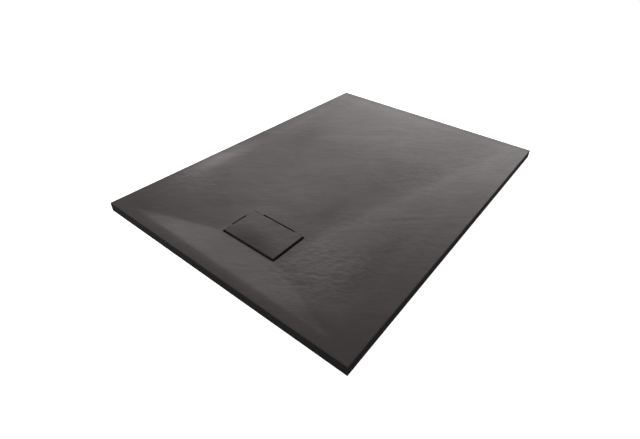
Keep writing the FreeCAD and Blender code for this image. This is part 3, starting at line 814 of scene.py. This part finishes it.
def mouldedMaterial(slot):
    colour, shade, roughness, grain, depth, dusty, specular = mouldings[slot]
    material = newMaterial(finishNames[slot], colour[:3], roughness, {"Specular IOR Level": specular})
    tree = material.node_tree
    place = objectPlace(tree)
    moulded = placeGroup(tree, mouldedGrain, {
        "Vector": place, "Colour": colour, "Shade": shade,
        "Roughness": roughness, "Grain": grain, "Depth": depth,
    })
    geometry = addNode(tree, "ShaderNodeNewGeometry")
    upward = addNode(tree, "ShaderNodeSeparateXYZ", {0: geometry.outputs["Normal"]}).outputs[2]
    dust = placeGroup(tree, dustFilm, {"Vector": place, "Upward": upward, "Amount": dusty}).outputs[0]
    pointed = geometry.outputs["Pointiness"]
    wearAndHighlight = placeGroup(tree, edgeWearAndHighlight, {"Vector": place, "Pointiness": pointed}).outputs[0]
    paler = tuple(min(1.0, c * 1.12 + 0.01) for c in colour[:3]) + (1,)
    tone = mixed(tree, maths(tree, "MULTIPLY", wearAndHighlight, 0.5), moulded.outputs["Color"], paler)
    tone = mixed(tree, dust, tone, dustColour)
    rough = maths(tree, "SUBTRACT", moulded.outputs["Roughness"], maths(tree, "MULTIPLY", wearAndHighlight, 0.08))
    rough = maths(tree, "ADD", rough, maths(tree, "MULTIPLY", dust, 0.5), clamp=True)
    dress(material, tone, rough, moulded.outputs["Height"])
    return material


# metal pieces: colour, marked colour, roughness, then in metres the step between rings
# and the radius where the painted shade starts, a dark rough ring on the rim seen through the gap round the
# cover
metals = {
    "steel": ((0.50, 0.50, 0.495, 1), (0.41, 0.405, 0.39, 1), 0.38, 0.00045, 0.0495),
    "brass": ((0.72, 0.55, 0.25, 1), (0.56, 0.42, 0.20, 1), 0.30, 0.00035, 1.0),
}
# painted shade on the metal's rim: its colour, and the width over which it comes in
paintedShadeColour = (0.035, 0.034, 0.032, 1)
paintedShadeEdge = 2 * mm


def metalMaterial(slot):
    colour, marked, roughness, ring, paintedShadeFrom = metals[slot]
    material = newMaterial(finishNames[slot], colour[:3], roughness, {"Metallic": 1.0})
    tree = material.node_tree
    place = objectPlace(tree)
    metal = placeGroup(tree, turnedMetal, {
        "Vector": place, "Centre": (drainX, drainY, 0), "Colour": colour, "Marked": marked,
        "Roughness": roughness, "Ring": ring,
        "Painted Shade": paintedShadeColour, "Painted Shade From": paintedShadeFrom, "Painted Shade To": paintedShadeFrom + paintedShadeEdge,
    })
    dress(material, metal.outputs["Color"], metal.outputs["Roughness"], metal.outputs["Height"])
    return material


slateFace = slateFaceMaterial()
shadedCastSide = shadedCastSideMaterial()
for piece in (slateSlab, slateCover):
    piece.data.materials.append(slateFace)
    piece.data.materials.append(shadedCastSide)

finishes = {slot: mouldedMaterial(slot) for slot in mouldings}
finishes.update({slot: metalMaterial(slot) for slot in metals})
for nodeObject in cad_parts.values():
    for holder in nodeObject.material_slots:
        if holder.material.name in finishes:
            holder.material = finishes[holder.material.name]
print("finishes:", len(bpy.data.materials))


# floor, light and camera

studio = {
    "floorSize": 14.0,
    "floorZ": -0.0004,
    "floorGrey": 0.3,         # what the floor throws back at the object
    "floorSeen": 0.7,         # the same where the camera sees it
    "backgroundLift": 0.92,   # how far the floor glows by itself where the camera sees it
    "glossyShare": 0.15,      # how much of the white background a gloss shows
    "skyFill": 0.27,
}


def seenShare(tree):
    # 1 where the camera or a clear piece looks, less where a gloss does,
    # and 0 for the light that falls on the object
    path = addNode(tree, "ShaderNodeLightPath").outputs
    glossy = maths(tree, "MULTIPLY", path["Is Glossy Ray"], studio["glossyShare"])
    direct = maths(tree, "MAXIMUM", path["Is Camera Ray"], path["Is Transmission Ray"])
    return maths(tree, "MAXIMUM", direct, glossy)


def buildFloor():
    bm = bmesh.new()
    bmesh.ops.create_grid(bm, x_segments=1, y_segments=1, size=studio["floorSize"] / 2)
    bmesh.ops.translate(bm, verts=bm.verts[:], vec=(0, 0, studio["floorZ"]))
    mesh = bpy.data.meshes.new("floor")
    bm.to_mesh(mesh)
    bm.free()
    floor = bpy.data.objects.new("floor", mesh)
    bpy.context.scene.collection.objects.link(floor)
    allOver = {"Specular IOR Level": 0, "Emission Color": (1, 1, 1, 1)}
    material = newMaterial("paleFloor", (1, 1, 1), 0.9, allOver)
    mesh.materials.append(material)
    tree = material.node_tree
    shader = tree.nodes["Principled BSDF"]
    share = seenShare(tree)
    unseen, seen = [(grey, grey, grey, 1) for grey in (studio["floorGrey"], studio["floorSeen"])]
    tree.links.new(mixed(tree, share, unseen, seen), shader.inputs["Base Color"])
    glow = maths(tree, "MULTIPLY", share, studio["backgroundLift"])
    tree.links.new(glow, shader.inputs["Emission Strength"])


def buildWorld():
    world = bpy.data.worlds.new("studio")
    bpy.context.scene.world = world
    world.use_nodes = True
    tree = world.node_tree
    background = tree.nodes["Background"]
    background.inputs["Color"].default_value = (1, 1, 1, 1)
    strength = ramped(tree, seenShare(tree), 0.0, 1.0, studio["skyFill"], 1.0)
    tree.links.new(strength, background.inputs["Strength"])


# soft boxes round the tray: heading from +X towards +Y, elevation, distance, width and height, watts
softBoxes = {
    "keyBox": (231.4, 46, 2.6, 1.3, 1.2, 22.0),
    "leftBox": (153.0, 16, 2.6, 1.3, 0.8, 4.0),
    "highBox": (142.0, 34, 2.6, 1.3, 1.0, 16.5),
    "lowBox": (126.0, 7, 2.6, 1.3, 0.5, 6.0),
    "backBox": (108.0, 12, 2.6, 1.3, 0.7, 20.0),
    "rightBox": (80.0, 20, 2.6, 1.3, 1.0, 18.5),
}


def buildLights():
    for name, (heading, elevation, distance, width, height, watts) in softBoxes.items():
        data = bpy.data.lights.new(name, "AREA")
        data.shape = "RECTANGLE"
        data.size = width
        data.size_y = height
        data.energy = watts
        lamp = bpy.data.objects.new(name, data)
        bpy.context.scene.collection.objects.link(lamp)
        turn = math.radians(heading)
        rise = math.radians(elevation)
        out = Vector((math.cos(rise) * math.cos(turn), math.cos(rise) * math.sin(turn), math.sin(rise)))
        facing = out.to_track_quat("Z", "Y").to_matrix().to_4x4()
        lamp.matrix_world = Matrix.Translation(out * distance) @ facing


buildFloor()
buildWorld()
buildLights()

view = {
    "azimuth": 35.31,
    "elevation": 36.17,
    "roll": 2.565,
    "place": (0.7206, -1.0165, 0.8042),
    "lens": 23.66,
    "sensor": 36,
    "shiftX": -0.0398,
    "shiftY": -0.0230,
    "farthest": 50,           # metres that the camera sees
}


def addCamera():
    azimuth = math.radians(view["azimuth"])
    elevation = math.radians(view["elevation"])
    roll = math.radians(view["roll"])
    level = Vector((math.cos(azimuth), math.sin(azimuth), 0))
    outward = Vector((math.sin(azimuth), -math.cos(azimuth), 0))
    back = outward * math.cos(elevation) + Vector((0, 0, math.sin(elevation)))
    upright = back.cross(level)
    right = level * math.cos(roll) + upright * math.sin(roll)
    up = upright * math.cos(roll) - level * math.sin(roll)
    data = bpy.data.cameras.new("photoCamera")
    data.sensor_width = view["sensor"]
    data.lens = view["lens"]
    data.shift_x = view["shiftX"]
    data.shift_y = view["shiftY"]
    data.clip_end = view["farthest"]
    camera = bpy.data.objects.new("photoCamera", data)
    bpy.context.scene.collection.objects.link(camera)
    turn = Matrix((right, up, back)).transposed().to_4x4()
    camera.matrix_world = Matrix.Translation(view["place"]) @ turn
    bpy.context.scene.camera = camera


addCamera()
bpy.context.scene.view_settings.view_transform = "Standard"
